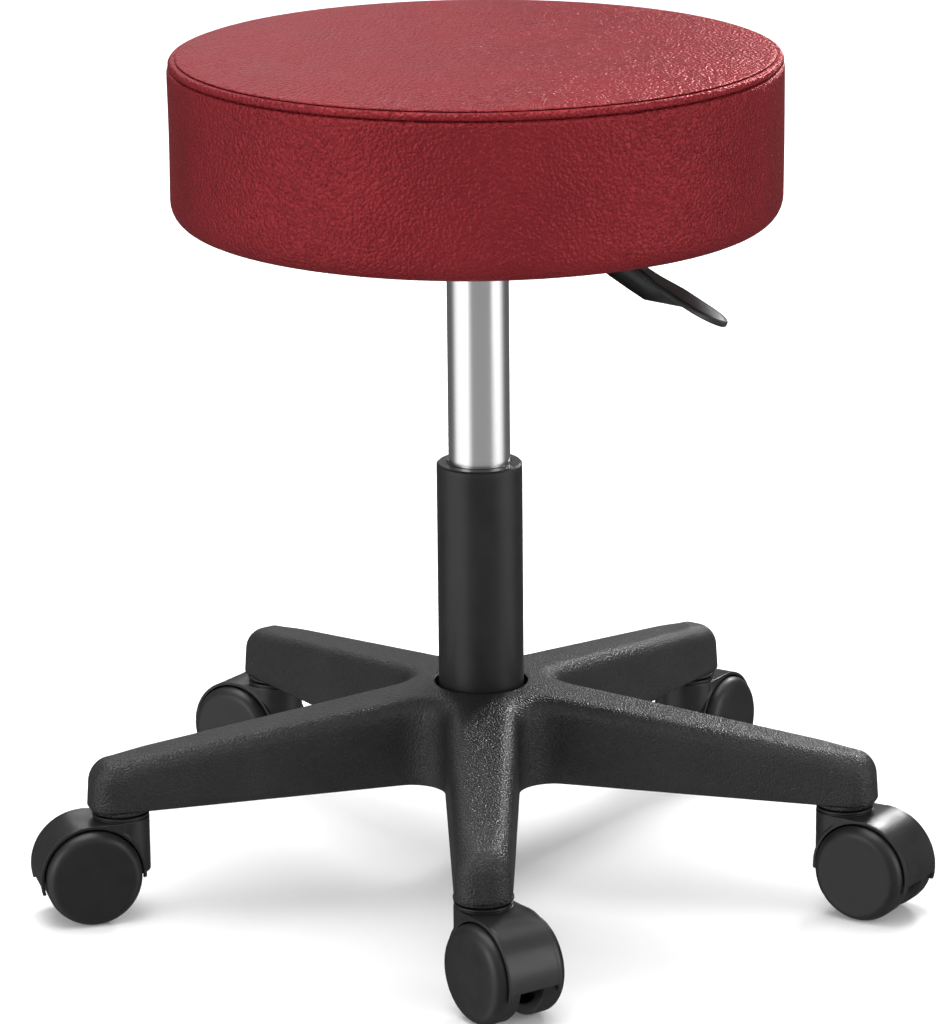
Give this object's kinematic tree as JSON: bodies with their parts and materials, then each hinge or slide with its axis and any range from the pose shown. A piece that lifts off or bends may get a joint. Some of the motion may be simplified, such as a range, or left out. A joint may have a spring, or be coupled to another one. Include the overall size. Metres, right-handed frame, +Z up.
{
  "type": "rolling stylist stool",
  "caption": "Round padded stool for salon work, on a gas lift column with a height lever and a five-leg base on swivelling twin-wheel casters.",
  "frame": {"origin": "on the floor, where the axis of the column meets it", "axes": "+Z up along the column; the front leg points along -Y, and +X is to the right, the side the height lever reaches out on"},
  "size_m": [0.5233, 0.5012, 0.496],
  "materials": {
    "upholstery": "satin grained synthetic leather",
    "foam": "soft foam",
    "plywood": "raw plywood",
    "dust_cloth": "non-woven cloth",
    "base_plastic": "fine pebble grain",
    "column_paint": "satin",
    "bush_plastic": "smooth",
    "handle_plastic": "smooth satin",
    "caster_plastic": "smooth satin",
    "wheel_plastic": "smooth satin",
    "dark_steel": "satin black",
    "zinc": "zinc plated",
    "rubber": "matte",
    "chrome": "bright"
  },
  "bodies": {
    "base": {"star_base": "base_plastic", "hub_sleeve": "dark_steel", "column_tube": "column_paint", "column_end_plate": "dark_steel", "guide_bush": "bush_plastic", "bearing_lower_race": "zinc", "stem_grip_rings": "zinc", "caster_1_stem": "zinc", "caster_2_stem": "zinc", "caster_3_stem": "zinc", "caster_4_stem": "zinc", "caster_5_stem": "zinc"},
    "rod": {"piston_rod": "zinc", "piston": "zinc", "bearing_upper_race": "zinc", "bearing_balls": "zinc", "bump_stop": "rubber", "rod_retaining_clip": "zinc"},
    "seat": {"seat_cover_top": "upholstery", "seat_welt": "upholstery", "seat_cover_side": "upholstery", "seat_foam": "foam", "seat_edge_foam": "foam", "seat_board": "plywood", "dust_cover": "dust_cloth", "staples": "zinc", "tee_nuts": "zinc", "seat_bolts": "zinc", "seat_washers": "zinc", "seat_plate": "dark_steel", "mechanism_housing": "dark_steel", "taper_socket": "zinc", "lever_pivot_pin": "zinc", "pressure_tube": "chrome", "tube_end_cap": "bush_plastic", "valve_plug": "zinc"},
    "lever": {"lever_arm": "dark_steel", "lever_handle": "handle_plastic"},
    "button": {"release_button": "zinc"},
    "caster_1": {"caster_1_hood": "caster_plastic", "caster_1_axle": "zinc"},
    "wheel_1a": {"caster_1_wheel_a": "wheel_plastic"},
    "wheel_1b": {"caster_1_wheel_b": "wheel_plastic"},
    "caster_2": {"caster_2_hood": "caster_plastic", "caster_2_axle": "zinc"},
    "wheel_2a": {"caster_2_wheel_a": "wheel_plastic"},
    "wheel_2b": {"caster_2_wheel_b": "wheel_plastic"},
    "caster_3": {"caster_3_hood": "caster_plastic", "caster_3_axle": "zinc"},
    "wheel_3a": {"caster_3_wheel_a": "wheel_plastic"},
    "wheel_3b": {"caster_3_wheel_b": "wheel_plastic"},
    "caster_4": {"caster_4_hood": "caster_plastic", "caster_4_axle": "zinc"},
    "wheel_4a": {"caster_4_wheel_a": "wheel_plastic"},
    "wheel_4b": {"caster_4_wheel_b": "wheel_plastic"},
    "caster_5": {"caster_5_hood": "caster_plastic", "caster_5_axle": "zinc"},
    "wheel_5a": {"caster_5_wheel_a": "wheel_plastic"},
    "wheel_5b": {"caster_5_wheel_b": "wheel_plastic"}
  },
  "joints": [
    {"name": "seat_swivel", "type": "hinge", "parent": "base", "child": "rod", "pos_m": [0, 0, 0.07], "axis": [0, 0, 1], "continuous": true},
    {"name": "seat_lift", "type": "slide", "parent": "rod", "child": "seat", "axis": [0, 0, 1], "range_m": [-0.095, 0.02]},
    {"name": "lever_lift", "type": "hinge", "parent": "seat", "child": "lever", "pos_m": [0.026, 0, 0.3936], "axis": [0, -1, 0], "range_deg": [0, 7], "stiffness_Nm_per_rad": 1.5},
    {"name": "valve_button", "type": "slide", "parent": "seat", "child": "button", "axis": [0, 0, 1], "range_m": [-0.0045, 0], "stiffness_N_per_m": 400},
    {"name": "caster_1_swivel", "type": "hinge", "parent": "base", "child": "caster_1", "pos_m": [0, -0.22, 0.048], "axis": [0, 0, 1], "continuous": true},
    {"name": "wheel_1a_spin", "type": "hinge", "parent": "caster_1", "child": "wheel_1a", "pos_m": [0.01102, -0.23633, 0.0282], "axis": [0.829, 0.5592, 0], "continuous": true},
    {"name": "wheel_1b_spin", "type": "hinge", "parent": "caster_1", "child": "wheel_1b", "pos_m": [0.01102, -0.23633, 0.0282], "axis": [0.829, 0.5592, 0], "continuous": true},
    {"name": "caster_2_swivel", "type": "hinge", "parent": "base", "child": "caster_2", "pos_m": [0.20923, -0.06798, 0.048], "axis": [0, 0, 1], "continuous": true},
    {"name": "wheel_2a_spin", "type": "hinge", "parent": "caster_2", "child": "wheel_2a", "pos_m": [0.22566, -0.07886, 0.0282], "axis": [0.5519, 0.8339, 0], "continuous": true},
    {"name": "wheel_2b_spin", "type": "hinge", "parent": "caster_2", "child": "wheel_2b", "pos_m": [0.22566, -0.07886, 0.0282], "axis": [0.5519, 0.8339, 0], "continuous": true},
    {"name": "caster_3_swivel", "type": "hinge", "parent": "base", "child": "caster_3", "pos_m": [0.12931, 0.17798, 0.048], "axis": [0, 0, 1], "continuous": true},
    {"name": "wheel_3a_spin", "type": "hinge", "parent": "caster_3", "child": "wheel_3a", "pos_m": [0.14004, 0.19451, 0.0282], "axis": [-0.8387, 0.5446, 0], "continuous": true},
    {"name": "wheel_3b_spin", "type": "hinge", "parent": "caster_3", "child": "wheel_3b", "pos_m": [0.14004, 0.19451, 0.0282], "axis": [-0.8387, 0.5446, 0], "continuous": true},
    {"name": "caster_4_swivel", "type": "hinge", "parent": "base", "child": "caster_4", "pos_m": [-0.12931, 0.17798, 0.048], "axis": [0, 0, 1], "continuous": true},
    {"name": "wheel_4a_spin", "type": "hinge", "parent": "caster_4", "child": "wheel_4a", "pos_m": [-0.14564, 0.189, 0.0282], "axis": [-0.5592, -0.829, 0], "continuous": true},
    {"name": "wheel_4b_spin", "type": "hinge", "parent": "caster_4", "child": "wheel_4b", "pos_m": [-0.14564, 0.189, 0.0282], "axis": [-0.5592, -0.829, 0], "continuous": true},
    {"name": "caster_5_swivel", "type": "hinge", "parent": "base", "child": "caster_5", "pos_m": [-0.20923, -0.06798, 0.048], "axis": [0, 0, 1], "continuous": true},
    {"name": "wheel_5a_spin", "type": "hinge", "parent": "caster_5", "child": "wheel_5a", "pos_m": [-0.22826, -0.07308, 0.0282], "axis": [0.2588, -0.9659, 0], "continuous": true},
    {"name": "wheel_5b_spin", "type": "hinge", "parent": "caster_5", "child": "wheel_5b", "pos_m": [-0.22826, -0.07308, 0.0282], "axis": [0.2588, -0.9659, 0], "continuous": true}
  ],
  "couplings": [
    {"joint": "valve_button", "follows": "lever_lift", "m_per_rad": -0.03}
  ]
}
